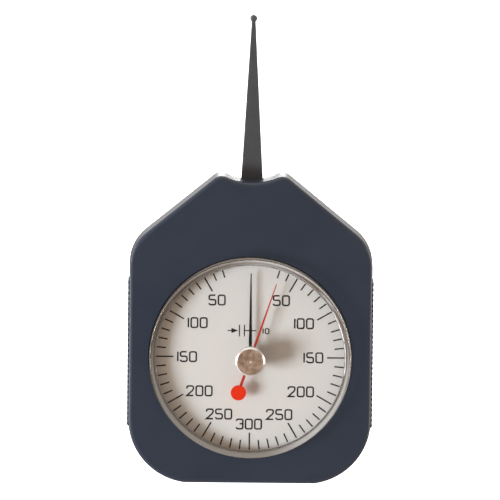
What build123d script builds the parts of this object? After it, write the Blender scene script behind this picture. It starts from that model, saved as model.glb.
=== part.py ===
from build123d import *
import os
from math import acos, asin, cos, degrees, pi, radians, sin, sqrt, tan

# Dial tension gauge, in millimetres.  It stands upright on the foot of its case: X is across the
# dial, Y runs from the dial to the back, and Z runs up along the feeler arm.  Every depth below is
# measured from the flat front face of the case, positive towards the back.

os.makedirs("parts", exist_ok=True)

# ---------------------------------------------------------------- case outline, seen from the front
half_width = 31.0
foot_radius = 16.6              # lower corners
foot_trim = 0.15                # the flat foot cuts this much off the corner arcs
shoulder_height = 61.4          # where the side would meet the sloping shoulder
shoulder_angle = 39.4
shoulder_radius = 11.4
valley_height = 78.0            # lowest point of the hollow between the two peaks
valley_radius = 16.5
peak_radius = 3.0

# ---------------------------------------------------------------- case shells
parting_gap = 0.2               # from the arm's back face to the parting line
front_wall = 2.2
side_wall = 2.2
edge_radius = 1.0
cover_clearance = 0.7           # behind the screw heads of the movement
cover_inset = 1.4               # the rear cover stands inside the rim of the front case
cover_wall = 1.8
cover_edge_radius = 2.0
lip_height = 1.2
lip_clearance = 0.1
foot_half_width = 14.4
foot_height = 3.0

grip_bottom = 14.6
grip_pitch = 1.355
grip_ridges = 28
grip_height = 0.35
grip_land = 0.25                # flat strip between two ridges

# ---------------------------------------------------------------- dial, lens and hands
dial_height = 32.9              # height of the dial axis
dial_radius = 25.5
dial_thickness = 0.8
dial_face = 0.5                 # depth of the printed face
dial_hole_radius = 1.6
dial_foot_spacing = 18.0
dial_foot_radius = 0.8
dial_foot_length = 1.2
dial_web = 1.6                  # floor of the pan that the dial lies in
pan_wall = 1.55

lens_overhang = 0.3             # the lens reaches this far past the dial's edge
lens_seal_width = 0.25
lens_wall = 1.4
lens_side_height = 3.0          # heights in this block are above the dial face
lens_shoulder_radius = 1.0
lens_crown_height = 4.7
lens_thickness = 1.3

pointer_height = 1.4
pointer_thickness = 0.25
pointer_tip_gap = 2.4           # from the tip to the inside of the lens
pointer_tail = 3.2
pointer_width = 0.95
pointer_tip_width = 0.26
pointer_hub_radius = 1.5
pointer_hub_rise = 0.3

peak_height = 2.4
peak_thickness = 0.25
peak_tip_gap = 3.9
peak_width = 0.7
peak_tip_width = 0.2
peak_tail = 9.2
peak_angle = 18.5               # where the peak hand was left, clockwise from zero
peak_hub_radius = 1.6
peak_hub_height = 0.7
drive_tab_radius = 12.0
drive_tab_drop = 0.5
disc_radius = 1.95
disc_thickness = 0.4

knob_radius = 3.77
knob_gap = 0.5                  # between the lens and the knob
knob_thickness = 2.0
knob_chamfer = 0.45
knurl_grooves = 60
knurl_depth = 0.12
knurl_margin = 0.15             # plain strip at each end of the knurl
knob_shaft_radius = 1.0
knob_bush_radius = 2.2
knob_bush_flange_radius = 2.8
knob_bush_flange = 0.25
washer_thickness = 0.2
running_fit = 0.03              # radial clearance of every shaft in its bush

# ---------------------------------------------------------------- gear pair and arm
module_size = 0.45
pinion_teeth = 12
sector_full_teeth = 144         # teeth that the sector would have as a whole wheel
sector_teeth = 16
pressure_angle = 20.0
pinion_addendum = 0.45
sector_addendum = 0.30          # short, so that it never reaches the pinion's base circle
root_clearance = 0.12
backlash = 0.04
arm_swing = 15.0                # each way, which turns the pointer through 180 degrees

arm_clearance = 1.6             # between the front plate and the blade
arm_thickness = 1.2
arm_tip_height = 119.38         # centre of the ball
arm_ball_radius = 0.95
arm_neck_width = 1.0
arm_width = 5.3                 # at arm_width_height
arm_width_height = 80.2
arm_slot_clearance = 0.15
arm_edge = 0.15                 # the blade's long edges are broken by this much
hub_flange_radius = 4.6
hub_flange = 1.2
hub_radius = 2.6
slip_fit = 0.01                 # round the hub in the blade and in the sector
rivet_radius = 0.5
rivet_circle = 3.6
sector_thickness = 0.8
sector_rim = 3.4
sector_spoke = 3.0

# ---------------------------------------------------------------- movement
plate_clearance = 0.5           # between the dial pan and the front plate
plate_thickness = 1.0
plate_margin = 3.5
pillar_radius = 2.2
pillar_spigot_radius = 1.3
pillar_spots = [(-11.0, 65.5), (11.0, 65.5), (-13.0, 18.0), (13.0, 18.0)]
small_screw_radius = 0.9
small_head_radius = 1.8
small_head_height = 0.9
movement_screw_spots = [(-11.5, 42.0), (11.5, 42.0), (0.0, 19.0)]
pad_radius = 2.4
bush_radius = 1.8
arm_pivot_radius = 0.75
arm_shaft_radius = 1.25
spindle_radius = 1.1
spindle_journal_radius = 0.8
spindle_rear_radius = 0.6
spindle_seat_radius = 0.55
shoulder_play = 0.05            # axial play between a shaft's shoulder and its bush
pinion_length = 2.0
stop_circle = 20.0
stop_radius = 1.0
stop_clearance = 0.1

main_spring_radius = 2.6        # of the innermost turn
main_spring_pitch = 0.8
main_spring_turns = 4
main_spring_strip = 0.3
hairspring_radius = 2.4
hairspring_pitch = 1.0
hairspring_turns = 5
hairspring_strip = 0.12
spring_height = 0.8
spring_clearance = 0.1
main_spring_gap = 1.0           # in front of the main spring and behind it
hairspring_gap = 0.7
stud_size = 1.4

cover_screw_spots = [(-21.9, 9.55), (21.9, 9.55), (-18.0, 63.0), (18.0, 63.0)]
screw_radius = 1.0
screw_head_radius = 1.9
screw_head_height = 1.2
screw_recess = 0.2
boss_radius = 3.0
hole_clearance = 0.1

# ---------------------------------------------------------------- places worked out from the sizes
lens_radius = dial_radius + lens_overhang
pan_radius = lens_radius + lens_seal_width
pointer_length = lens_radius - lens_wall - pointer_tip_gap
peak_length = lens_radius - lens_wall - peak_tip_gap
knob_back = dial_face - lens_crown_height - knob_gap
knob_face = knob_back - knob_thickness
pan_floor = dial_face + dial_thickness
pan_back = pan_floor + dial_web
pinion_pitch_radius = module_size * pinion_teeth / 2
sector_pitch_radius = module_size * sector_full_teeth / 2
pivot_height = dial_height + pinion_pitch_radius + sector_pitch_radius
sector_half_angle = 180 * sector_teeth / sector_full_teeth
plate_front = pan_back + plate_clearance
plate_back = plate_front + plate_thickness
arm_front = plate_back + arm_clearance
arm_back = arm_front + arm_thickness
front_depth = arm_back + parting_gap      # the parting line between the two shells
sector_front = arm_back + hub_flange
sector_back = sector_front + sector_thickness
main_spring_front = sector_back + main_spring_gap
hairspring_front = plate_back + hairspring_gap
rear_plate_front = main_spring_front + spring_height + main_spring_gap
rear_plate_back = rear_plate_front + plate_thickness
case_back = rear_plate_back + small_head_height + cover_clearance + cover_wall
middle = (case_back + knob_face) / 2      # the depth that lies on Y = 0
main_spring = (main_spring_radius, main_spring_pitch, main_spring_turns, main_spring_strip)
hairspring = (hairspring_radius, hairspring_pitch, hairspring_turns, hairspring_strip)


def at_depth(depth):
    """Drawing plane that faces the viewer of the dial: its x is X and its y is Z."""
    return Plane(origin=(0, depth - middle, 0), x_dir=(1, 0, 0), z_dir=(0, -1, 0))


def slab(sketch, front, back):
    """A flat drawing given thickness between two depths."""
    return extrude(at_depth(back) * sketch, amount=back - front, dir=(0, -1, 0))


def turned(profile, height=0.0, x=0.0):
    """A turned piece: a closed profile of (radius, depth) points spun about an axis along Y."""
    points = [(radius, depth - middle) for radius, depth in profile]
    face = make_face(Polyline(*points, close=True))
    return Pos(x, 0, height) * revolve(face, axis=Axis.Y)


def round_bar(radius, front, back, height, x=0.0):
    return slab(Pos(x, height) * Circle(radius), front, back)


def save(shape, name):
    shape.label = name
    export_step(shape, f"parts/{name}.step")


def outline(inset):
    """The case seen from the front, shrunk by an even inset."""
    slope = tan(radians(shoulder_angle))
    side = half_width - inset
    bottom = inset - foot_trim
    ridge = shoulder_height + half_width * slope - inset / cos(radians(shoulder_angle))
    corner = ridge - side * slope
    centre = valley_height + valley_radius
    radius = valley_radius + inset
    rise = ridge - centre
    square = 1 + slope**2
    peak_x = (slope * rise + sqrt((slope * rise) ** 2 - square * (rise**2 - radius**2))) / square
    peak_z = ridge - slope * peak_x
    sides = Polyline((-peak_x, peak_z), (-side, corner), (-side, bottom),
                     (side, bottom), (side, corner), (peak_x, peak_z))
    valley = ThreePointArc((peak_x, peak_z), (0, valley_height - inset), (-peak_x, peak_z))
    shape = Sketch() + make_face(sides + valley)
    for height, size in ((bottom, foot_radius), (corner, shoulder_radius), (peak_z, peak_radius)):
        if size > inset + 0.2:
            corners = [v for v in shape.vertices() if abs(v.Y - height) < 0.001]
            shape = fillet(corners, size - inset)
    below = Pos(0, inset - foot_radius) * Rectangle(4 * half_width, 2 * foot_radius)
    return shape - below


def grip(side):
    """The row of finger ridges down one side wall, drawn as one closed strip."""
    inner = side * (half_width - side_wall / 2)
    wall = side * half_width
    crest = side * (half_width + grip_height)
    edges = Line((inner, grip_bottom), (wall, grip_bottom))
    for ridge in range(grip_ridges):
        low = grip_bottom + ridge * grip_pitch
        high = low + grip_pitch - grip_land
        edges += ThreePointArc((wall, low), (crest, (low + high) / 2), (wall, high))
        edges += Line((wall, high), (wall, high + grip_land))
    top = grip_bottom + grip_ridges * grip_pitch
    edges += Polyline((wall, top), (inner, top), (inner, grip_bottom))
    return make_face(edges)


def edges_at(shape, depth):
    y = depth - middle
    return [e for e in shape.edges() if all(abs(v.Y - y) < 0.001 for v in e.vertices())]


def arm_half_width(height):
    """Half the blade's width: it tapers evenly to the neck under the ball."""
    taper = (arm_width - arm_neck_width) / (arm_tip_height - arm_width_height)
    return (arm_neck_width + taper * (arm_tip_height - height)) / 2


# ---------------------------------------------------------------- case
def arm_slot():
    """Opening at the parting line that the blade swings in, sized from the swing."""
    lip = valley_height + 1.0
    swing = radians(arm_swing)
    half = (lip - pivot_height) * tan(swing) + arm_half_width(lip) / cos(swing)
    half += arm_slot_clearance
    low = valley_height - side_wall - 1.0
    sketch = Pos(0, low + 5) * Rectangle(2 * half, 10)
    return slab(sketch, arm_front - arm_slot_clearance, front_depth)


def front_case():
    shell = slab(outline(0), 0, front_depth)
    shell = fillet(edges_at(shell, 0), edge_radius)
    pan = round_bar(pan_radius + pan_wall, 0, pan_back, dial_height)
    shell -= slab(outline(side_wall), front_wall, front_depth) - pan
    for x, z in cover_screw_spots:
        shell += round_bar(boss_radius, front_wall, front_depth, z, x)
        shell -= round_bar(screw_radius, front_wall, front_depth, z, x)
    for x, z in movement_screw_spots:
        shell += round_bar(pad_radius, pan_floor, plate_front, z, x)
        shell -= round_bar(small_screw_radius, pan_floor + 0.4, plate_front, z, x)
    shell -= round_bar(pan_radius, 0, pan_floor, dial_height)
    shell -= round_bar(2 * bush_radius, pan_floor, pan_back, dial_height)
    for x in (-dial_foot_spacing, dial_foot_spacing):
        hole = dial_foot_radius + hole_clearance
        shell -= round_bar(hole, pan_floor, pan_back, dial_height, x)
    for side in (-1, 1):
        shell += slab(grip(side), edge_radius, front_depth - 0.4)
    return shell - arm_slot()


def rear_cover():
    cover = slab(outline(cover_inset), front_depth, case_back)
    cover = fillet(edges_at(cover, case_back), cover_edge_radius)
    foot = Pos(0, foot_height / 2) * Rectangle(2 * foot_half_width, foot_height)
    cover += slab(foot, front_depth, case_back - cover_edge_radius)
    cover -= slab(outline(cover_inset + cover_wall), front_depth, case_back - cover_wall)
    lip = outline(side_wall + lip_clearance) - outline(cover_inset + cover_wall + lip_clearance)
    lip -= Pos(0, valley_height) * Rectangle(2 * (half_width - shoulder_radius), 16)
    cover += slab(lip, front_depth - lip_height, front_depth)
    head_seat = case_back - screw_recess - screw_head_height
    for x, z in cover_screw_spots:
        cover += round_bar(boss_radius, front_depth, case_back - cover_wall, z, x)
        cover -= round_bar(screw_radius + hole_clearance, front_depth, case_back, z, x)
        cover -= round_bar(screw_head_radius + hole_clearance, head_seat, case_back, z, x)
    return cover


def cover_screws():
    head = case_back - screw_recess
    seat = head - screw_head_height
    tip = front_wall + 1.0
    profile = [(0, tip), (screw_radius, tip), (screw_radius, seat), (screw_head_radius, seat),
               (screw_head_radius, head - 0.3), (screw_head_radius - 0.3, head), (0, head)]
    return Part() + [turned(profile, z, x) for x, z in cover_screw_spots]


# ---------------------------------------------------------------- dial and lens
def dial_plate():
    plate = round_bar(dial_radius, dial_face, pan_floor, dial_height)
    plate -= round_bar(dial_hole_radius, dial_face, pan_floor, dial_height)
    for x in (-dial_foot_spacing, dial_foot_spacing):
        foot_end = pan_floor + dial_foot_length
        plate += round_bar(dial_foot_radius, pan_floor, foot_end, dial_height, x)
    return plate


def lens():
    """Clear domed cup: a straight side, a rounded shoulder and a shallow crown."""
    def y(height):
        return dial_face - height - middle

    def crown(edge_radius, edge_height, top_height):
        """Height of the crown over the bush hole, and over a point half-way out."""
        rise = top_height - edge_height
        sphere = (edge_radius**2 + rise**2) / (2 * rise)
        return [top_height - sphere + sqrt(sphere**2 - r**2)
                for r in (knob_bush_radius, edge_radius / 2)]

    inner = lens_radius - lens_wall
    rim = lens_radius - lens_shoulder_radius
    rim_height = lens_side_height + lens_shoulder_radius
    inner_rim = inner - lens_shoulder_radius / 2
    inner_rim_height = rim_height - lens_thickness
    inner_side = inner_rim_height - lens_shoulder_radius / 2
    hole_top, half_top = crown(rim, rim_height, lens_crown_height)
    hole_low, half_low = crown(inner_rim, inner_rim_height, lens_crown_height - lens_thickness)
    bend = lens_shoulder_radius * (1 - cos(pi / 4))
    edges = Line((inner, y(0)), (lens_radius, y(0)))
    edges += Line((lens_radius, y(0)), (lens_radius, y(lens_side_height)))
    edges += ThreePointArc((lens_radius, y(lens_side_height)),
                           (lens_radius - bend, y(rim_height - bend)), (rim, y(rim_height)))
    edges += ThreePointArc((rim, y(rim_height)), (rim / 2, y(half_top)),
                           (knob_bush_radius, y(hole_top)))
    edges += Line((knob_bush_radius, y(hole_top)), (knob_bush_radius, y(hole_low)))
    edges += ThreePointArc((knob_bush_radius, y(hole_low)), (inner_rim / 2, y(half_low)),
                           (inner_rim, y(inner_rim_height)))
    edges += ThreePointArc((inner_rim, y(inner_rim_height)),
                           (inner - bend / 2, y(inner_rim_height - bend / 2)),
                           (inner, y(inner_side)))
    edges += Line((inner, y(inner_side)), (inner, y(0)))
    return Pos(0, 0, dial_height) * revolve(make_face(edges), axis=Axis.Y)


def lens_seal():
    ring = Circle(pan_radius) - Circle(lens_radius)
    return slab(Pos(0, dial_height) * ring, dial_face - 0.2, pan_floor)


def knob_bush():
    front = dial_face - lens_crown_height
    lens_inside = front + lens_thickness + running_fit
    bore = knob_shaft_radius + running_fit
    flange_back = lens_inside + knob_bush_flange
    profile = [(bore, front), (knob_bush_radius, front), (knob_bush_radius, lens_inside),
               (knob_bush_flange_radius, lens_inside), (knob_bush_flange_radius, flange_back),
               (bore, flange_back)]
    return turned(profile, dial_height)


# ---------------------------------------------------------------- movement frame
def plate(front, holes):
    """Movement plate: a hull round the four pillars and the arm pivot."""
    spots = Sketch()
    for x, z in pillar_spots:
        spots += Pos(x, z) * Circle(plate_margin)
    spots += Pos(0, pivot_height) * Circle(plate_margin + bush_radius)
    shape = make_hull(spots.edges())
    for x, z, radius in holes:
        shape -= Pos(x, z) * Circle(radius)
    return slab(shape, front, front + plate_thickness)


def front_plate():
    holes = [(x, z, pillar_spigot_radius) for x, z in pillar_spots]
    holes += [(x, z, small_screw_radius + hole_clearance) for x, z in movement_screw_spots]
    holes += [(0, pivot_height, bush_radius), (0, dial_height, bush_radius)]
    holes += [(x, z, stop_radius) for x, z in stop_spots()]
    return plate(plate_front, holes)


def rear_plate():
    holes = [(x, z, small_screw_radius + hole_clearance) for x, z in pillar_spots]
    holes += [(0, pivot_height, bush_radius), (0, dial_height, bush_radius)]
    return plate(rear_plate_front, holes)


def plate_pillars():
    bore = small_screw_radius
    bore_front = rear_plate_front - 3.0
    profile = [(0, plate_front), (pillar_spigot_radius, plate_front),
               (pillar_spigot_radius, plate_back), (pillar_radius, plate_back),
               (pillar_radius, rear_plate_front), (bore, rear_plate_front), (bore, bore_front),
               (0, bore_front)]
    return Part() + [turned(profile, z, x) for x, z in pillar_spots]


def small_screws(spots, seat, length):
    """Cheese-head screws driven from the back: the head stands on depth `seat`."""
    head = seat + small_head_height
    profile = [(0, seat - length), (small_screw_radius, seat - length),
               (small_screw_radius, seat), (small_head_radius, seat),
               (small_head_radius, head - 0.2), (small_head_radius - 0.2, head), (0, head)]
    return Part() + [turned(profile, z, x) for x, z in spots]


def bushes(height, front_bore, rear_bore):
    """The pair of bushes, one in each plate, that a shaft runs in."""
    pair = Part()
    for front, bore in ((plate_front, front_bore), (rear_plate_front - 0.2, rear_bore)):
        ring = Circle(bush_radius) - Circle(bore + running_fit)
        pair += slab(Pos(0, height) * ring, front, front + plate_thickness + 0.2)
    return pair


def stop_spots():
    """The stop pins stand where the sector's edges come to rest at full swing."""
    pin_angle = degrees(asin((stop_radius + stop_clearance) / stop_circle))
    angle = radians(sector_half_angle + arm_swing + pin_angle)
    x = stop_circle * sin(angle)
    z = pivot_height - stop_circle * cos(angle)
    return [(-x, z), (x, z)]


def arm_stops():
    pins = [round_bar(stop_radius, plate_front, sector_back + 0.3, z, x) for x, z in stop_spots()]
    return Part() + pins


# ---------------------------------------------------------------- gear pair
def involute(angle):
    return tan(angle) - angle


def tooth(teeth, addendum, dedendum):
    """One involute tooth pointing along +y, down to just under the root circle."""
    pitch_radius = module_size * teeth / 2
    pressure = radians(pressure_angle)
    base_radius = pitch_radius * cos(pressure)
    root_radius = pitch_radius - dedendum
    tip_radius = pitch_radius + addendum
    half_pitch = pi / 2 / teeth - backlash / 2 / pitch_radius
    start = max(base_radius, root_radius)
    flank = []
    for step in range(4):
        radius = start + (tip_radius - start) * step / 3
        roll = acos(base_radius / radius) if radius > base_radius else 0.0
        angle = half_pitch + involute(pressure) - involute(roll)
        flank.append((radius * sin(angle), radius * cos(angle)))
    foot = root_radius - 0.2
    root_x = flank[0][0] * foot / start
    mirror = [(-x, y) for x, y in flank]
    edges = Line((-root_x, foot), (root_x, foot)) + Line((root_x, foot), flank[0])
    edges += Spline(*flank)
    edges += ThreePointArc(flank[-1], (0, tip_radius), mirror[-1])
    edges += Spline(*reversed(mirror))
    edges += Line(mirror[0], (-root_x, foot))
    return make_face(edges)


def drive_pinion():
    dedendum = sector_addendum + root_clearance
    wheel = Sketch() + Circle(pinion_pitch_radius - dedendum)
    shape = tooth(pinion_teeth, pinion_addendum, dedendum)
    step = 360 / pinion_teeth
    for index in range(pinion_teeth):
        wheel += Rot(0, 0, (index + 0.5) * step) * shape
    wheel -= Circle(spindle_radius)
    front = sector_front - (pinion_length - sector_thickness) / 2
    return slab(Pos(0, dial_height) * wheel, front, front + pinion_length)


def fan(half_angle, outer, inner=0.0):
    """A slice of a ring that opens downwards, both ways from the centre line."""
    angle = radians(half_angle)
    reach = outer / cos(angle)
    wedge = make_face(Polyline((0, 0), (reach * sin(angle), -reach * cos(angle)),
                               (-reach * sin(angle), -reach * cos(angle)), close=True))
    ring = Circle(outer) - Circle(inner) if inner else Circle(outer)
    return ring & wedge


def sector_gear():
    """Toothed sector: hub disc, three spokes and a rim, with a tooth on the centre line."""
    dedendum = pinion_addendum + root_clearance
    root_radius = sector_pitch_radius - dedendum
    wheel = fan(sector_half_angle, root_radius) + Circle(hub_flange_radius)
    window = fan(sector_half_angle - 5.5, root_radius - sector_rim, 2 * hub_flange_radius)
    wheel -= window - Pos(0, -root_radius / 2) * Rectangle(sector_spoke, root_radius)
    shape = tooth(sector_full_teeth, sector_addendum, dedendum)
    step = 360 / sector_full_teeth
    count = sector_teeth // 2 - 1
    for index in range(-count, count + 1):
        wheel += Rot(0, 0, 180 + index * step) * shape
    wheel -= Circle(hub_radius + slip_fit)
    for x, z in rivet_spots():
        wheel -= Pos(x, z) * Circle(rivet_radius)
    return slab(Pos(0, pivot_height) * wheel, sector_front, sector_back)


# ---------------------------------------------------------------- arm and its shaft
def rivet_spots():
    angles = [radians(90 + 120 * index) for index in range(3)]
    return [(rivet_circle * cos(angle), rivet_circle * sin(angle)) for angle in angles]


def feeler_arm():
    neck = arm_tip_height
    low, high = arm_half_width(pivot_height), arm_half_width(neck)
    blade = make_face(Polyline((-low, pivot_height), (low, pivot_height), (high, neck),
                               (-high, neck), close=True))
    blade += Pos(0, pivot_height) * Circle(hub_flange_radius)
    blade -= Pos(0, pivot_height) * Circle(hub_radius + slip_fit)
    for x, z in rivet_spots():
        blade -= Pos(x, pivot_height + z) * Circle(rivet_radius)
    arm = slab(blade, arm_front, arm_back)
    long_edges = [e for depth in (arm_front, arm_back) for e in edges_at(arm, depth)
                  if e.length > neck - arm_width_height]
    arm = chamfer(long_edges, arm_edge)
    centre = (arm_front + arm_back) / 2 - middle
    return arm + Pos(0, centre, arm_tip_height) * Sphere(arm_ball_radius)


def arm_hub():
    front = arm_front - 0.6
    back = sector_back + 0.6
    profile = [(arm_shaft_radius, front), (hub_radius, front), (hub_radius, arm_back),
               (hub_flange_radius, arm_back), (hub_flange_radius, sector_front),
               (hub_radius, sector_front), (hub_radius, back), (arm_shaft_radius, back)]
    hub = turned(profile, pivot_height)
    for x, z in rivet_spots():
        hub -= round_bar(rivet_radius, arm_back, sector_front, pivot_height + z, x)
    return hub


def arm_rivets():
    rivets = Part()
    for x, z in rivet_spots():
        rivets += round_bar(rivet_radius, arm_front, sector_back, pivot_height + z, x)
        head = rivet_radius + 0.3
        rivets += round_bar(head, arm_front - 0.25, arm_front, pivot_height + z, x)
        rivets += round_bar(head, sector_back, sector_back + 0.25, pivot_height + z, x)
    return rivets


def shaft(sections, height, x=0.0):
    """A stepped shaft from (radius, front, back) sections, laid end to end."""
    profile = [(0, sections[0][1])]
    for radius, front, back in sections:
        profile += [(radius, front), (radius, back)]
    profile.append((0, sections[-1][2]))
    return turned(profile, height, x)


def arm_shaft():
    front_shoulder = plate_back + 0.2 + shoulder_play
    rear_shoulder = rear_plate_front - 0.2 - shoulder_play
    return shaft([(arm_pivot_radius, plate_front, front_shoulder),
                  (arm_shaft_radius, front_shoulder, rear_shoulder),
                  (arm_pivot_radius, rear_shoulder, rear_plate_back)], pivot_height)


def spring_strip(radius, pitch, turns, strip):
    """Flat spiral of half rings struck from two centres, so that each runs into the next."""
    spiral = Sketch()
    for half_turn in range(2 * turns):
        size = radius + half_turn * pitch / 2
        upper = half_turn % 2 == 0
        ring = Circle(size + strip / 2) - Circle(size - strip / 2)
        half = Pos(0, size if upper else -size) * Rectangle(4 * size, 2 * size)
        spiral += Pos(0 if upper else -pitch / 2, 0) * (ring & half)
    return spiral


def spiral_spring(height, front, radius, pitch, turns, strip):
    shape = spring_strip(radius, pitch, turns, strip)
    return slab(Pos(0, height) * shape, front, front + spring_height)


def spring_stud(height, front, back, radius, pitch, turns, strip):
    """Square post that the outer end of a spiral spring is fixed to, end face to side."""
    x = radius + turns * pitch - strip / 2 + stud_size / 2
    block = Pos(-x, height + stud_size / 2) * Rectangle(stud_size, stud_size)
    return slab(block, front, back)


def collet(height, front, bore, spring_radius, strip):
    """Ring on the shaft inside the first turn of a spiral spring."""
    ring = Circle(spring_radius - strip / 2 - spring_clearance) - Circle(bore)
    return slab(Pos(0, height) * ring, front - 0.1, front + spring_height + 0.1)


# ---------------------------------------------------------------- spindle, pointer and peak hand
def pointer_spindle():
    tip = dial_face - pointer_height - pointer_thickness - pointer_hub_rise
    seat_end = pan_back - 0.3
    front_shoulder = plate_back + 0.2 + shoulder_play
    rear_shoulder = rear_plate_front - 0.2 - shoulder_play
    return shaft([(spindle_seat_radius, tip, seat_end),
                  (spindle_journal_radius, seat_end, front_shoulder),
                  (spindle_radius, front_shoulder, rear_shoulder),
                  (spindle_rear_radius, rear_shoulder, rear_plate_back)], dial_height)


def needle(length, tail, width, tip_width):
    return make_face(Polyline((-width / 2, -tail), (width / 2, -tail), (width / 2, 0),
                              (tip_width / 2, length), (-tip_width / 2, length),
                              (-width / 2, 0), close=True))


def pointer():
    shape = needle(pointer_length, pointer_tail, pointer_width, pointer_tip_width)
    shape = shape + Circle(pointer_hub_radius) - Circle(spindle_seat_radius)
    back = dial_face - pointer_height
    return slab(Pos(0, dial_height) * shape, back - pointer_thickness, back)


def pointer_hub():
    """Turned collar under the hand and a rolled lip over it, pressed on the spindle."""
    back = dial_face - pointer_height
    ring = Circle(pointer_hub_radius - 0.2) - Circle(spindle_seat_radius)
    return slab(Pos(0, dial_height) * ring, back, back + 0.6)


def peak_hand():
    """Thin hand with a long tail and a small drive tab bent down towards the pointer."""
    shape = needle(peak_length, peak_tail, peak_width, peak_tip_width)
    shape = shape + Circle(peak_hub_radius) - Circle(knob_shaft_radius)
    back = dial_face - peak_height
    turn = Pos(0, dial_height) * Rot(0, 0, -peak_angle)
    hand = slab(turn * shape, back - peak_thickness, back)
    tab = Pos(0, drive_tab_radius) * Rectangle(0.3, 1.2)
    return hand + slab(turn * tab, back, back + drive_tab_drop)


def peak_counterweight():
    back = dial_face - peak_height - peak_thickness
    turn = Pos(0, dial_height) * Rot(0, 0, -peak_angle)
    disc = turn * Pos(0, -peak_tail) * Circle(disc_radius)
    return slab(disc, back - disc_thickness, back)


def peak_hub():
    back = dial_face - peak_height - peak_thickness
    ring = Circle(peak_hub_radius) - Circle(knob_shaft_radius)
    return slab(Pos(0, dial_height) * ring, back - peak_hub_height + peak_thickness, back)


def knob_shaft():
    socket = (knob_face + knob_back) / 2
    return round_bar(knob_shaft_radius, socket, dial_face - peak_height, dial_height)


def reset_knob():
    """Round knob with a straight knurl, a bright chamfer and a shallow centre mark."""
    socket = (knob_face + knob_back) / 2
    profile = [(0, knob_face + 0.15), (0.3, knob_face), (knob_radius - knob_chamfer, knob_face),
               (knob_radius, knob_face + knob_chamfer), (knob_radius, knob_back - 0.2),
               (knob_radius - 0.2, knob_back), (knob_shaft_radius, knob_back),
               (knob_shaft_radius, socket), (0, socket)]
    groove = Pos(0, knob_radius) * Rot(0, 0, 45) * Rectangle(*[knurl_depth * sqrt(2)] * 2)
    knurl = Sketch()
    for index in range(knurl_grooves):
        knurl += Rot(0, 0, index * 360 / knurl_grooves) * groove
    front = knob_face + knob_chamfer + knurl_margin
    back = knob_back - 0.2 - knurl_margin
    return turned(profile, dial_height) - slab(Pos(0, dial_height) * knurl, front, back)


def friction_washer():
    ring = Circle(knob_bush_radius) - Circle(knob_shaft_radius)
    return slab(Pos(0, dial_height) * ring, knob_back, knob_back + washer_thickness)


save(front_case(), "front_case")
save(rear_cover(), "rear_cover")
save(cover_screws(), "cover_screws")
save(dial_plate(), "dial_plate")
save(lens(), "lens")
save(lens_seal(), "lens_seal")
save(knob_bush(), "knob_bush")
save(front_plate(), "front_plate")
save(rear_plate(), "rear_plate")
save(plate_pillars(), "plate_pillars")
save(small_screws(pillar_spots, rear_plate_back, plate_thickness + 2.6), "pillar_screws")
save(small_screws(movement_screw_spots, plate_back, plate_back - pan_floor - 0.6),
     "movement_screws")
save(bushes(pivot_height, arm_pivot_radius, arm_pivot_radius), "arm_bushes")
save(bushes(dial_height, spindle_journal_radius, spindle_rear_radius), "spindle_bushes")
save(arm_stops(), "arm_stops")
save(spiral_spring(pivot_height, main_spring_front, *main_spring), "main_spring")
save(spring_stud(pivot_height, main_spring_front, rear_plate_front, *main_spring),
     "main_spring_stud")
save(spiral_spring(dial_height, hairspring_front, *hairspring), "hairspring")
save(spring_stud(dial_height, plate_back, hairspring_front + spring_height, *hairspring),
     "hairspring_stud")
save(feeler_arm(), "feeler_arm")
save(arm_shaft(), "arm_shaft")
save(arm_hub(), "arm_hub")
save(arm_rivets(), "arm_rivets")
save(sector_gear(), "sector_gear")
save(collet(pivot_height, main_spring_front, arm_shaft_radius, main_spring_radius,
            main_spring_strip), "main_spring_collet")
save(pointer_spindle(), "pointer_spindle")
save(drive_pinion(), "drive_pinion")
save(pointer(), "pointer")
save(pointer_hub(), "pointer_hub")
save(collet(dial_height, hairspring_front, spindle_radius, hairspring_radius, hairspring_strip),
     "hairspring_collet")
save(reset_knob(), "reset_knob")
save(knob_shaft(), "knob_shaft")
save(friction_washer(), "friction_washer")
save(peak_hand(), "peak_hand")
save(peak_hub(), "peak_hub")
save(peak_counterweight(), "peak_counterweight")
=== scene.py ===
from math import cos, pi, radians, sin, sqrt

import bmesh
import bpy
from mathutils import Matrix, Vector


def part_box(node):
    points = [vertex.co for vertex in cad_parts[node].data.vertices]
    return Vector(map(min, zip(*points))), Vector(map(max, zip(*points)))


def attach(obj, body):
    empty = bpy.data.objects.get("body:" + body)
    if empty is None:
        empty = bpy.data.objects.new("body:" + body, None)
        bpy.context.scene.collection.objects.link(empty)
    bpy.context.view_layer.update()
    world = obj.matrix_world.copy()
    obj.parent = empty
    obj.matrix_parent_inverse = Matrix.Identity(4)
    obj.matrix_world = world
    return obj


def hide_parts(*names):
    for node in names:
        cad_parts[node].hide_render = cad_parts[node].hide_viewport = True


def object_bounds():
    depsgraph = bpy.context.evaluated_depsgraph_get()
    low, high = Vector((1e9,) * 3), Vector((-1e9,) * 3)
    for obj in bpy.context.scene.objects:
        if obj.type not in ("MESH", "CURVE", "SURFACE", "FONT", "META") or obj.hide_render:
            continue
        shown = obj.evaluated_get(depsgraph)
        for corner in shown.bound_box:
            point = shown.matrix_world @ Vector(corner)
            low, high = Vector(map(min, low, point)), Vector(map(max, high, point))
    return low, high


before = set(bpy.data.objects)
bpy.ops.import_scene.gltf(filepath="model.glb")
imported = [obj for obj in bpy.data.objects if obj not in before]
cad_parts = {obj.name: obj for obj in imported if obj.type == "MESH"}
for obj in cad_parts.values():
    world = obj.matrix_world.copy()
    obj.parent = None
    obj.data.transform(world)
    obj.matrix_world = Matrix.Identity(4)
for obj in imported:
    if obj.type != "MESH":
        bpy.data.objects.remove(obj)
cad_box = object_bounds()

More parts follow.
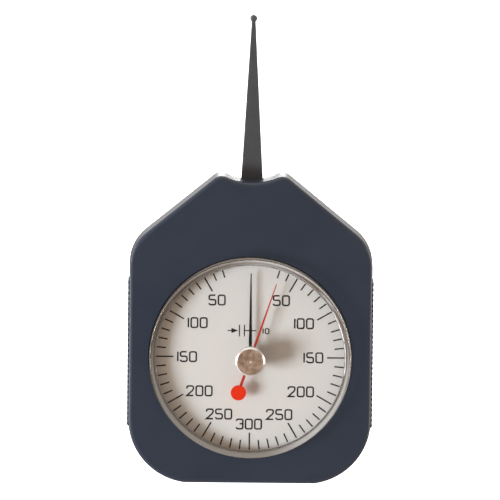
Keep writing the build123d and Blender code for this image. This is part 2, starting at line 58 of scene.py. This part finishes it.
# ---------------------------------------------------------------- case
# Two shells moulded in black phenolic with a blue cast and a satin skin.  The front one carries the
# dial pan and the ridged grips, the rear one closes it, and four screws from behind hold them.
MM = 0.001
case_black = (0.021, 0.031, 0.052)
case_flow = tuple(1.15 * c for c in case_black)     # lighter streaks where the powder flowed


def new_finish(name, colour, roughness, metallic=0.0):
    """A material with one shader, and the coordinates of the piece to lay its detail on."""
    material = bpy.data.materials.new(name)
    material.use_nodes = True
    shader = material.node_tree.nodes["Principled BSDF"]
    shader.inputs["Base Color"].default_value = (*colour, 1)
    shader.inputs["Roughness"].default_value = roughness
    shader.inputs["Metallic"].default_value = metallic
    place = material.node_tree.nodes.new("ShaderNodeTexCoord").outputs["Object"]
    return material, shader, place


def joined(material, kind, **sockets):
    """A new node whose named inputs are either wired to a socket or set to a value."""
    node = material.node_tree.nodes.new(kind)
    for name, value in sockets.items():
        socket = node.inputs[name.replace("_", " ")]
        if isinstance(value, bpy.types.NodeSocket):
            material.node_tree.links.new(value, socket)
        else:
            socket.default_value = value
    return node


def mottle(material, place, size, detail=3.0):
    """Soft random patches of about that size."""
    return joined(material, "ShaderNodeTexNoise", Vector=place, Scale=1 / size,
                  Detail=detail).outputs["Fac"]


def stretched(material, place, across, along, axis):
    """Coordinates in which a pattern comes out long along one axis, as brushing does."""
    scale = [1 / across] * 3
    scale["XYZ".index(axis)] = 1 / along
    return joined(material, "ShaderNodeMapping", Vector=place, Scale=scale).outputs["Vector"]


def ramp(material, value, start, end, low=0.0, high=1.0):
    """Runs from low to high while a value goes from start to end."""
    return joined(material, "ShaderNodeMapRange", Value=value, From_Min=start, From_Max=end,
                  To_Min=low, To_Max=high).outputs["Result"]


def between(material, pattern, low, high):
    """Turns a random pattern, which mostly runs from 0.3 to 0.7, into values from low to high."""
    return ramp(material, pattern, 0.3, 0.7, low, high)


def blended(material, amount, first, second):
    """Runs from first to second with a pattern; each is a colour or another pattern's colour."""
    node = material.node_tree.nodes.new("ShaderNodeMix")
    node.data_type = "RGBA"
    material.node_tree.links.new(amount, node.inputs["Factor"])
    colour_inputs, colour_output = node.inputs[6:8], node.outputs[2]
    for socket, colour in zip(colour_inputs, (first, second)):
        if isinstance(colour, bpy.types.NodeSocket):
            material.node_tree.links.new(colour, socket)
        else:
            socket.default_value = (*colour, 1)
    return colour_output


def relief(material, shader, height, depth):
    """Bumps of that depth, in metres, on the surface."""
    bump = joined(material, "ShaderNodeBump", Height=height, Distance=depth)
    material.node_tree.links.new(bump.outputs["Normal"], shader.inputs["Normal"])


def wire(material, value, shader, socket):
    """Lets a pattern drive one input of the shader."""
    material.node_tree.links.new(value, shader.inputs[socket])


def dress(material, *names):
    """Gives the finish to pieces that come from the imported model."""
    for name in names:
        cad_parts[name].data.materials[0] = material


def moulded_case():
    material, shader, place = new_finish("moulded_case", case_black, 0.42)
    flow = mottle(material, place, 9 * MM)
    grain = mottle(material, place, 0.22 * MM, detail=2.0)
    wire(material, blended(material, flow, case_black, case_flow), shader, "Base Color")
    wire(material, between(material, flow, 0.38, 0.46), shader, "Roughness")
    shader.inputs["Specular IOR Level"].default_value = 0.75
    relief(material, shader, grain, 0.004 * MM)
    return material


dress(moulded_case(), "front_case", "rear_cover")

# ---------------------------------------------------------------- cover screws
# Four steel pan-head screws with a cross recess, sunk in the back of the rear cover.  They are
# zinc plated, and the plating is finely marked and a little stained.
zinc = (0.42, 0.42, 0.44)


def ground_steel(name, colour, roughness, axis="Y"):
    """Steel with fine marks along one axis."""
    material, shader, place = new_finish(name, colour, roughness, metallic=1.0)
    marks = mottle(material, stretched(material, place, 0.06 * MM, 1.6 * MM, axis), 1.0)
    stain = mottle(material, place, 1.2 * MM)
    darker = tuple(0.72 * c for c in colour)
    wire(material, blended(material, stain, colour, darker), shader, "Base Color")
    wire(material, between(material, marks, roughness - 0.07, roughness + 0.09), shader,
         "Roughness")
    relief(material, shader, marks, 0.002 * MM)
    return material


zinc_plate = ground_steel("zinc_plate", zinc, 0.34)
dress(zinc_plate, "pillar_screws", "movement_screws")

screw_low, screw_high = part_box("cover_screws")
screw_shank = 1.0 * MM
screw_head = 1.9 * MM
screw_head_height = 1.2 * MM
screw_ease = 0.3 * MM               # rounding of the head's edge
cross_reach = 1.05 * MM
cross_half_width = 0.24 * MM
cross_depth = 0.75 * MM
cross_taper = 0.6                   # the cross's floor against its mouth
lower_screw = (screw_high.x - screw_head, screw_low.z + screw_head)
upper_screw = (18.0 * MM, screw_high.z - screw_head)
screw_spots = [(side * x, z) for side in (-1, 1) for x, z in (lower_screw, upper_screw)]


def lay_out(name, shape, material):
    """Turns finished mesh work into a piece of the object."""
    mesh = bpy.data.meshes.new(name)
    shape.to_mesh(mesh)
    shape.free()
    mesh.materials.append(material)
    piece = bpy.data.objects.new(name, mesh)
    bpy.context.scene.collection.objects.link(piece)
    return piece


def quarter(radius, height, size, steps):
    """Points round an edge, from the side up to where its top begins, which isn't among them."""
    turns = [pi / 2 * i / steps for i in range(steps)]
    return [(radius - size * (1 - cos(a)), height + size * sin(a)) for a in turns]


def cross_screw(screws, x, z):
    """One screw seen from behind: a turned body, and a cross sunk in its flat head."""
    seat = screw_high.y - screw_head_height
    profile = [(0, screw_low.y), (screw_shank, screw_low.y), (screw_shank, seat),
               (screw_head, seat)]
    profile += quarter(screw_head, screw_high.y - screw_ease, screw_ease, steps=5)
    profile += [(screw_head - screw_ease, screw_high.y)]
    section = [screws.verts.new((x + r, y, z)) for r, y in profile]
    edges = [screws.edges.new(pair) for pair in zip(section, section[1:])]
    bmesh.ops.spin(screws, geom=section + edges, cent=(x, 0, z), axis=(0, 1, 0), angle=2 * pi,
                   steps=40, use_merge=True)
    near, far = cross_half_width, cross_reach
    quarter_turn = [(near, far), (near, near), (far, near)]
    outline = [(u * cos(q) + v * sin(q), v * cos(q) - u * sin(q))
               for q in (0, pi / 2, pi, 3 * pi / 2) for u, v in quarter_turn]
    cross = [screws.verts.new((x + u, screw_high.y, z + v)) for u, v in outline]
    lips = [screws.edges.new(pair) for pair in zip(cross, cross[1:] + cross[:1])]
    bmesh.ops.remove_doubles(screws, verts=screws.verts, dist=0.002 * MM)
    rim = [e for e in screws.edges if len(e.link_faces) == 1
           and all(abs(v.co.y - screw_high.y) < 0.01 * MM for v in e.verts)]
    bmesh.ops.triangle_fill(screws, edges=rim + lips, use_beauty=True)
    sunk = bmesh.ops.extrude_edge_only(screws, edges=lips)["geom"]
    floor_verts = [v for v in sunk if isinstance(v, bmesh.types.BMVert)]
    bmesh.ops.translate(screws, vec=(0, -cross_depth, 0), verts=floor_verts)
    bmesh.ops.scale(screws, vec=(cross_taper, 1, cross_taper), verts=floor_verts,
                    space=Matrix.Translation((-x, 0, -z)))
    bmesh.ops.edgeloop_fill(screws, edges=[e for e in sunk if isinstance(e, bmesh.types.BMEdge)
                                           and len(e.link_faces) == 1])


screws = bmesh.new()
for x, z in screw_spots:
    cross_screw(screws, x, z)
bmesh.ops.recalc_face_normals(screws, faces=screws.faces)
cross_screws = lay_out("cross_screws", screws, zinc_plate)
cross_screws.data.shade_smooth()
cross_screws.data.set_sharp_from_angle(angle=radians(35))
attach(cross_screws, "case")
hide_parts("cover_screws")

# ---------------------------------------------------------------- movement
# Brass plates, pillars, bushes and sector, with steel shafts, pins and pinion, all closed in by
# the case.  The main spring is tempered steel and the hairspring bronze.
brass_sheet = (0.74, 0.56, 0.28)
brass_bar = (0.70, 0.53, 0.26)
bronze = (0.62, 0.42, 0.24)
tarnish_brown = (0.52, 0.33, 0.13)
bright_steel = (0.55, 0.55, 0.57)
blued_steel = (0.16, 0.18, 0.25)


def brass(name, colour, roughness, axis):
    material, shader, place = new_finish(name, colour, roughness, metallic=1.0)
    marks = mottle(material, stretched(material, place, 0.08 * MM, 5 * MM, axis), 1.0)
    tarnish = mottle(material, place, 3 * MM, detail=5.0)
    wire(material, blended(material, tarnish, colour, tarnish_brown), shader, "Base Color")
    wire(material, between(material, marks, roughness - 0.06, roughness + 0.1), shader,
         "Roughness")
    relief(material, shader, marks, 0.0015 * MM)
    return material


dress(brass("rolled_brass", brass_sheet, 0.30, "Z"), "front_plate", "rear_plate", "sector_gear")
dress(brass("turned_brass", brass_bar, 0.26, "Y"), "plate_pillars", "arm_bushes",
      "spindle_bushes", "main_spring_stud", "hairspring_stud", "arm_hub", "main_spring_collet",
      "hairspring_collet", "knob_bush")
dress(brass("spring_bronze", bronze, 0.28, "Y"), "hairspring", "friction_washer")
dress(ground_steel("ground_pin", bright_steel, 0.26), "arm_stops", "arm_shaft", "arm_rivets",
      "pointer_spindle", "drive_pinion", "pointer_hub", "knob_shaft", "peak_hub")
dress(ground_steel("tempered_spring", blued_steel, 0.30), "main_spring")

# ---------------------------------------------------------------- dial plate and its print
# A round plate sprayed in a warm white satin lacquer.  The scale and the figures are screen
# printed on it in black, so they stand a hair proud of the lacquer.
dial_low, dial_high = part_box("dial_plate")
dial_face = dial_low.y
dial_middle = (dial_low.z + dial_high.z) / 2
dial_white = (0.80, 0.765, 0.735)
dial_cloud = (0.77, 0.755, 0.735)
ink_black = (0.010, 0.009, 0.009)
ink_worn = (0.028, 0.026, 0.025)
ink_height = 0.02 * MM


def dial_lacquer():
    material, shader, place = new_finish("dial_lacquer", dial_white, 0.42)
    cloud = mottle(material, place, 14 * MM)
    wire(material, blended(material, cloud, dial_white, dial_cloud), shader, "Base Color")
    wire(material, between(material, cloud, 0.38, 0.46), shader, "Roughness")
    relief(material, shader, mottle(material, place, 0.35 * MM), 0.002 * MM)
    return material


def printing_ink():
    material, shader, place = new_finish("printing_ink", (0.012, 0.011, 0.011), 0.55)
    wear = mottle(material, place, 0.5 * MM)
    wire(material, blended(material, wear, ink_black, ink_worn), shader, "Base Color")
    relief(material, shader, mottle(material, place, 0.05 * MM), 0.002 * MM)
    return material


dress(dial_lacquer(), "dial_plate")
ink = printing_ink()

tick_outer = 24.1 * MM
tick_length = 2.5 * MM
long_tick_length = 4.5 * MM
tick_width = 0.36 * MM
grams_per_tick = 10
grams_per_long_tick = 50
full_scale = 300                    # grams at half a turn, either way
first_tick = 30

figure_width = 1.66 * MM            # between the middles of the strokes
figure_height = 2.48 * MM
figure_gap = 0.69 * MM
figure_stroke = 0.40 * MM
figure_corner = 0.42 * MM
sharp_turn = radians(100)           # a stroke that turns by more keeps its sharp corner

# Each number, and how far right of and above the dial's middle it stands, in millimetres.
figure_spots = (
    (50, -8.60, 14.74), (50, 7.77, 14.74), (100, -13.48, 8.82), (100, 13.60, 8.82),
    (150, -16.10, -0.01), (150, 16.10, -0.01), (200, -12.86, -8.87), (200, 12.99, -8.87),
    (250, -7.80, -14.85), (250, 7.55, -14.85), (300, -0.17, -17.40))

# Each figure is drawn in strokes on a square of one by one, before it gets its width and height.
figures = {
    "0": [[(0, 0), (1, 0), (1, 1), (0, 1), (0, 0)]],
    "1": [[(0, 0), (0, 1)]],
    "2": [[(0, 0.72), (0, 1), (1, 1), (1, 0.62), (0, 0), (1, 0)]],
    "3": [[(0, 0.82), (0, 1), (1, 1), (1, 0), (0, 0), (0, 0.18)], [(0.5, 0.53), (1, 0.53)]],
    "5": [[(0.94, 1), (0, 1), (0, 0.53), (1, 0.53), (1, 0), (0, 0), (0, 0.18)]],
}


def draw_stroke(sheet, points, corner=0.0):
    """Lays one stroke on the dial: a bent line whose corners may be rounded."""
    closed = points[0] == points[-1]
    laid = [sheet.verts.new((x, dial_face, dial_middle + z)) for x, z in
            (points[:-1] if closed else points)]
    for a, b in zip(laid, laid[1:] + laid[:1] if closed else laid[1:]):
        sheet.edges.new((a, b))
    bends = [v for v in (laid if closed else laid[1:-1]) if v.calc_edge_angle() < sharp_turn]
    if corner and bends:
        bmesh.ops.bevel(sheet, geom=bends, offset=corner, offset_type="OFFSET", segments=3,
                        profile=0.5, affect="VERTICES", material=-1)


def draw_number(sheet, text, x, z, width, height, gap, corner):
    """Writes a whole number with its middle at x, z."""
    steps = [0 if figure == "1" else width for figure in text]
    x -= (sum(steps) + gap * (len(text) - 1)) / 2
    for figure, step in zip(text, steps):
        for stroke in figures[figure]:
            draw_stroke(sheet, [(x + u * width, z + (v - 0.5) * height) for u, v in stroke],
                        corner)
        x += step + gap


def print_ink(name, sheet, stroke_width):
    """Prints strokes: each gets the height of the ink and then its even width."""
    raised = bmesh.ops.extrude_edge_only(sheet, edges=sheet.edges[:])["geom"]
    bmesh.ops.translate(sheet, vec=(0, -ink_height, 0),
                        verts=[v for v in raised if isinstance(v, bmesh.types.BMVert)])
    bmesh.ops.recalc_face_normals(sheet, faces=sheet.faces)
    piece = lay_out(name, sheet, ink)
    width = piece.modifiers.new("stroke_width", "SOLIDIFY")
    width.thickness = stroke_width
    width.offset = 0
    width.use_even_offset = True
    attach(piece, "case")
    return piece


scale = bmesh.new()
for grams in range(first_tick, full_scale + 1, grams_per_tick):
    length = tick_length if grams % grams_per_long_tick else long_tick_length
    for side in (-1, 1) if grams < full_scale else (1,):
        turn = side * pi * grams / full_scale
        draw_stroke(scale, [(r * sin(turn), r * cos(turn)) for r in
                            (tick_outer - length, tick_outer)])
print_ink("dial_scale", scale, tick_width)

numbers = bmesh.new()
for grams, x, z in figure_spots:
    draw_number(numbers, str(grams), x * MM, z * MM, figure_width, figure_height, figure_gap,
                figure_corner)
print_ink("dial_figures", numbers, figure_stroke)

# The mark that says what one division is worth: an arrow and a line towards two ticks, and a 10.
mark_height = 6.87 * MM
mark_half_tick = 1.5 * MM
mark_ticks = (-2.81 * MM, -1.55 * MM)
mark_arrow = (-5.83 * MM, -4.85 * MM, -3.2 * MM)    # its tail, its barbs and its tip
arrow_half_height = 0.68 * MM
mark_line_end = 1.4 * MM
mark_stroke = 0.28 * MM
mark_number = 3.95 * MM
mark_number_drop = 0.1 * MM
mark_figure_width = 0.9 * MM
mark_figure_height = 1.3 * MM
mark_figure_gap = 0.55 * MM
mark_figure_corner = 0.3 * MM

mark = bmesh.new()
for x in mark_ticks:
    draw_stroke(mark, [(x, mark_height - mark_half_tick), (x, mark_height + mark_half_tick)])
draw_stroke(mark, [(mark_arrow[0], mark_height), (mark_arrow[1], mark_height)])
draw_stroke(mark, [(mark_ticks[1], mark_height), (mark_line_end, mark_height)])
draw_number(mark, "10", mark_number, mark_height - mark_number_drop, mark_figure_width,
            mark_figure_height, mark_figure_gap, mark_figure_corner)
print_ink("division_mark", mark, mark_stroke)

arrow = bmesh.new()
corners = ((mark_arrow[1], -arrow_half_height), (mark_arrow[2], 0),
           (mark_arrow[1], arrow_half_height))
tip = arrow.faces.new([arrow.verts.new((x, dial_face, dial_middle + mark_height + z))
                       for x, z in corners])
raised = bmesh.ops.extrude_face_region(arrow, geom=[tip])["geom"]
bmesh.ops.translate(arrow, vec=(0, -ink_height, 0),
                    verts=[v for v in raised if isinstance(v, bmesh.types.BMVert)])
bmesh.ops.recalc_face_normals(arrow, faces=arrow.faces)
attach(lay_out("mark_arrowhead", arrow, ink), "case")

# ---------------------------------------------------------------- lens and its seal
# A cup of clear acrylic with a shallow dome, set in the pan round the dial in a ring of black
# rubber.  Its polished wall is thick, so from the front it shows as a pale ring, and it takes
# light from the dial's rim.
lens_low, lens_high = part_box("lens")
lens_radius = lens_high.x
lens_wall = 1.4 * MM
lens_crown = 1.3 * MM               # thickness of the dome
lens_side = 3.0 * MM                # height of the straight side over the dial
lens_round = 1.0 * MM               # radius between the side and the dome
lens_hole = 2.2 * MM
lens_seat = 0.03 * MM               # film of cement under the rim
wall_inner = lens_radius - lens_wall
clear_tint = (0.97, 0.97, 0.97)     # of the light that gets through the dome
into_wall = (0.25, 0.175, 0.13)     # of what gets in at the wall's inner face
out_of_wall = (0.22, 0.22, 0.21)    # of what gets out at the wall's outer face
tint_near, tint_far = 0.1 * MM, 0.4 * MM    # off the wall's inner face, where a tint changes
rubber_black = (0.012, 0.012, 0.013)


def from_axis(material, place):
    """Distance of a point from the axis of the dial."""
    centred = joined(material, "ShaderNodeMapping", Vector=place,
                     Location=(0, 0, -dial_middle), Scale=(1, 0, 1))
    distance = joined(material, "ShaderNodeVectorMath", Vector=centred.outputs["Vector"])
    distance.operation = "LENGTH"
    return distance.outputs["Value"]


def clear_acrylic():
    """Clear to the eye, while the light that it lets through to the dial is dimmed by the wall."""
    material, shader, place = new_finish("clear_acrylic", (0.97, 0.975, 0.97), 0.02)
    shader.inputs["Transmission Weight"].default_value = 1.0
    shader.inputs["IOR"].default_value = 1.49
    distance = from_axis(material, place)
    outer = ramp(material, distance, wall_inner + tint_near, wall_inner + tint_far)
    inner = ramp(material, distance, wall_inner - tint_far, wall_inner - tint_near)
    inside = blended(material, inner, clear_tint, into_wall)
    entering = blended(material, outer, inside, clear_tint)
    leaving = blended(material, outer, clear_tint, out_of_wall)
    backfacing = joined(material, "ShaderNodeNewGeometry").outputs["Backfacing"]
    shade = blended(material, backfacing, entering, leaving)
    passing = joined(material, "ShaderNodeBsdfTransparent", Color=shade)
    path = joined(material, "ShaderNodeLightPath")
    links = material.node_tree.links
    clear = shader
    for ray in ("Is Diffuse Ray", "Is Shadow Ray"):
        choice = joined(material, "ShaderNodeMixShader", Fac=path.outputs[ray])
        links.new(clear.outputs[0], choice.inputs[1])
        links.new(passing.outputs[0], choice.inputs[2])
        clear = choice
    output = material.node_tree.nodes["Material Output"]
    links.new(clear.outputs[0], output.inputs["Surface"])
    return material


def dome(rim_radius, rim_height, top_height, steps=12):
    """Points along a shallow dome, from its rim in to the hole in its middle."""
    rise = top_height - rim_height
    sphere = (rim_radius ** 2 + rise ** 2) / (2 * rise)
    radii = [rim_radius + (lens_hole - rim_radius) * i / steps for i in range(steps + 1)]
    return [(r, top_height - sphere + sqrt(sphere ** 2 - r ** 2)) for r in radii]


def lens_cup():
    """Turns the cup's section round the dial's axis; heights are over the dial."""
    top = dial_face - lens_low.y
    rim = lens_side + lens_round
    inner_round = lens_round / 2
    inner_rim = rim - lens_crown
    outside = [(lens_radius, lens_seat)]
    outside += quarter(lens_radius, lens_side, lens_round, steps=6)
    outside += dome(lens_radius - lens_round, rim, top)
    inside = [(wall_inner, lens_seat)]
    inside += quarter(wall_inner, inner_rim - inner_round, inner_round, steps=6)
    inside += dome(wall_inner - inner_round, inner_rim, top - lens_crown)
    cup = bmesh.new()
    section = [cup.verts.new((r, dial_face - h, dial_middle)) for r, h in outside + inside[::-1]]
    edges = [cup.edges.new(pair) for pair in zip(section, section[1:] + section[:1])]
    bmesh.ops.spin(cup, geom=section + edges, cent=(0, 0, dial_middle), axis=(0, 1, 0),
                   angle=2 * pi, steps=128, use_merge=True)
    bmesh.ops.remove_doubles(cup, verts=cup.verts, dist=0.001 * MM)
    bmesh.ops.recalc_face_normals(cup, faces=cup.faces)
    return cup


clear_lens = lay_out("clear_lens", lens_cup(), clear_acrylic())
clear_lens.data.shade_smooth()
clear_lens.data.set_sharp_from_angle(angle=radians(50))
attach(clear_lens, "case")
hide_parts("lens")


def rubber():
    material, shader, place = new_finish("black_rubber", rubber_black, 0.7)
    relief(material, shader, mottle(material, place, 0.2 * MM), 0.01 * MM)
    return material


dress(rubber(), "lens_seal")

# ---------------------------------------------------------------- hands
# The pointer is blanked from thin sheet and painted matt black.  The peak hand is the same in
# red, with a bright red disc on its tail to balance it; the hand's red is a darker copy of the
# disc's: painted shade.
pointer_black = (0.008, 0.008, 0.008)
# The hand's red is darkened from the disc's as painted shade.
hand_red_painted_shade = (0.58, 0.045, 0.022)
disc_red = (0.97, 0.036, 0.006)


def painted(name, colour, roughness):
    material, shader, place = new_finish(name, colour, roughness)
    skin = mottle(material, place, 0.6 * MM)
    thin_paint = tuple(0.86 * c for c in colour)
    wire(material, blended(material, skin, colour, thin_paint), shader, "Base Color")
    relief(material, shader, mottle(material, place, 0.12 * MM), 0.003 * MM)
    return material


dress(painted("black_paint", pointer_black, 0.45), "pointer")
dress(painted("red_paint_painted_shade", hand_red_painted_shade, 0.40), "peak_hand")
dress(painted("red_paint", disc_red, 0.35), "peak_counterweight")

# ---------------------------------------------------------------- reset knob
# A knob turned from a bar of brass and nickel plated.  The lathe leaves fine rings and a centre
# mark in its face, and the chamfer round the face is polished bright.  The centre mark is painted
# near white: a painted glint.
knob_face_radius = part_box("reset_knob")[1].x - 0.45 * MM    # inside the chamfer
knob_edge = 0.06 * MM               # over which the face turns into the chamfer
centre_mark, centre_pit = 0.35 * MM, 0.1 * MM       # radii where the mark begins and is full
nickel_warm = (0.57, 0.41, 0.32)
nickel_stained = (0.31, 0.195, 0.135)
# The centre mark's near white is a painted glint.
centre_glint_white = (0.95, 0.85, 0.76)
nickel_polished = (0.72, 0.69, 0.66)


def turned_knob():
    material, shader, place = new_finish("turned_knob", (0.43, 0.32, 0.26), 0.3, metallic=0.4)
    centred = joined(material, "ShaderNodeMapping", Vector=place,
                     Location=(0, 0, -dial_middle)).outputs["Vector"]
    rings = joined(material, "ShaderNodeTexWave", Vector=centred, Scale=4.0 / MM,
                   Distortion=0.6, Detail=2.0)
    rings.wave_type = "RINGS"
    rings.rings_direction = "Y"
    stain = mottle(material, place, 1.2 * MM, detail=6.0)
    stained = ramp(material, stain, 0.36, 0.64)
    distance = from_axis(material, place)
    centre = ramp(material, distance, centre_mark, centre_pit)
    rim = ramp(material, distance, knob_face_radius, knob_face_radius + knob_edge)
    face = blended(material, stained, nickel_warm, nickel_stained)
    face_with_glint = blended(material, centre, face, centre_glint_white)
    wire(material, blended(material, rim, face_with_glint, nickel_polished), shader, "Base Color")
    wire(material, ramp(material, rim, 0, 1, 0.34, 0.16), shader, "Roughness")
    relief(material, shader, rings.outputs["Fac"], 0.004 * MM)
    return material


dress(turned_knob(), "reset_knob")

# ---------------------------------------------------------------- feeler arm
# A long blade ground to a taper from steel strip and blackened, with a small ball at its end that
# is set against the part to be measured.
blacked = (0.100, 0.104, 0.117)
rubbed_bare = (0.140, 0.146, 0.160)


def blackened_steel():
    material, shader, place = new_finish("blackened_steel", (0.11, 0.11, 0.115), 0.46,
                                         metallic=0.55)
    marks = mottle(material, stretched(material, place, 0.9 * MM, 0.07 * MM, "Z"), 1.0)
    wear = mottle(material, place, 2.5 * MM, detail=5.0)
    wire(material, blended(material, wear, blacked, rubbed_bare), shader, "Base Color")
    wire(material, between(material, marks, 0.38, 0.54), shader, "Roughness")
    relief(material, shader, marks, 0.003 * MM)
    return material


dress(blackened_steel(), "feeler_arm")

# ---------------------------------------------------------------- studio
# A plain pale floor and plain soft light: a cool key low on the left that gives the hands their
# shadows, a wide warm fill beside it, strips on both sides, and soft boxes above and behind.
# The camera stands far off with a long lens.
warm_light = (1.0, 0.81, 0.66)
cool_light = (0.85, 0.94, 1.0)
paper_white = (0.86, 0.86, 0.86)
paper_glow = 1.5
card_black = (0.004, 0.004, 0.004)
room_glow = 0.41

card_spot = Vector((0, -0.5, -0.06))
foot = Vector((0, 0, 0))
lower_case = Vector((0, 0, 0.04))
upper_case = Vector((0, 0, 0.08))
dial_centre = Vector((0, dial_face, dial_middle))
key_distance = 1.6
key_side = radians(55)              # off the dial's axis
key_drop = radians(13)              # below the level
key_way = Vector((-sin(key_side) * cos(key_drop), -cos(key_side), -sin(key_side) * sin(key_drop)))
fill_distance = 2.0
fill_way = Vector((-0.75, -0.64, -0.17))

view_distance = 3.0
view_width = 127.3 * MM             # breadth of the view where the case's front is
view_elevation = radians(10.5)
view_azimuth = radians(-0.35)
view_roll = radians(0.63)
aim = Vector((-0.35 * MM, cad_box[0].y + 6.7 * MM, 60.7 * MM))


def white_paper():
    material, shader, place = new_finish("white_paper", paper_white, 0.8)
    relief(material, shader, mottle(material, place, 2 * MM), 0.02 * MM)
    shader.inputs["Emission Color"].default_value = (1, 1, 1, 1)
    shader.inputs["Emission Strength"].default_value = paper_glow
    return material


def black_card():
    material, shader, place = new_finish("black_card", card_black, 0.9)
    relief(material, shader, mottle(material, place, 1 * MM), 0.02 * MM)
    return material


def sheet_of(name, size, material):
    """A flat sheet that stands in the studio."""
    sheet = bmesh.new()
    bmesh.ops.create_grid(sheet, x_segments=1, y_segments=1, size=size)
    return lay_out(name, sheet, material)


def soft_box(name, spot, target, width, height, power, colour=(1, 1, 1), mirrored=True,
             in_lens=True):
    """A lamp that points at its target, mirrored by the case or not, seen by the lens or not."""
    light = bpy.data.lights.new(name, "AREA")
    light.shape = "RECTANGLE"
    light.size = width
    light.size_y = height
    light.energy = power
    light.color = colour
    lamp = bpy.data.objects.new(name, light)
    lamp.location = spot
    lamp.rotation_mode = "QUATERNION"
    lamp.rotation_quaternion = (target - spot).to_track_quat("-Z", "Y")
    lamp.visible_glossy = mirrored
    lamp.visible_transmission = in_lens
    bpy.context.scene.collection.objects.link(lamp)


floor = sheet_of("floor", size=2.0, material=white_paper())
floor.visible_shadow = False
floor.visible_diffuse = False
floor.visible_glossy = False
floor.visible_transmission = False

# A black card stands low in front, so that the lens mirrors it and stays clear.
card = sheet_of("card", size=0.14, material=black_card())
card.data.transform(Matrix.Translation(card_spot) @ Matrix.Rotation(pi / 2, 4, "X"))
card.visible_camera = False
card.visible_shadow = False
card.visible_diffuse = False

soft_box("key_light", dial_centre + key_distance * key_way, dial_centre, width=0.56, height=0.56,
         power=31.0, colour=cool_light, mirrored=False, in_lens=False)
soft_box("fill_light", dial_centre + fill_distance * fill_way, dial_centre, width=2.4, height=2.4,
         power=8.3, colour=warm_light, mirrored=False, in_lens=False)
soft_box("top_light", Vector((0, -0.15, 1.2)), foot, width=1.6, height=0.5, power=4.0)
soft_box("back_light", Vector((0, 1.2, 0.7)), upper_case, width=2.4, height=1.2, power=13.5)
soft_box("rear_light", Vector((0, 1.2, 0.36)), upper_case, width=0.3, height=0.25, power=2.2)
for name, side in (("left_light", -1), ("right_light", 1)):
    soft_box(name, Vector((1.3 * side, 0.08, 0.04)), lower_case, width=0.2, height=1.0, power=8.5,
             in_lens=side > 0)

world = bpy.data.worlds.new("studio")
world.use_nodes = True
background = world.node_tree.nodes["Background"]
background.inputs["Color"].default_value = (*warm_light, 1)
background.inputs["Strength"].default_value = room_glow
bpy.context.scene.world = world
bpy.context.scene.view_settings.view_transform = "Standard"

camera = bpy.data.objects.new("camera", bpy.data.cameras.new("camera"))
back = Vector((sin(view_azimuth) * cos(view_elevation), -cos(view_azimuth) * cos(view_elevation),
               sin(view_elevation)))
camera.location = aim + view_distance * back
camera.rotation_mode = "QUATERNION"
camera.rotation_quaternion = ((-back).to_track_quat("-Z", "Y")
                              @ Matrix.Rotation(view_roll, 3, "Z").to_quaternion())
camera.data.lens = camera.data.sensor_width * view_distance / view_width
camera.data.clip_start = 0.1
camera.data.clip_end = 20
bpy.context.scene.collection.objects.link(camera)
bpy.context.scene.camera = camera
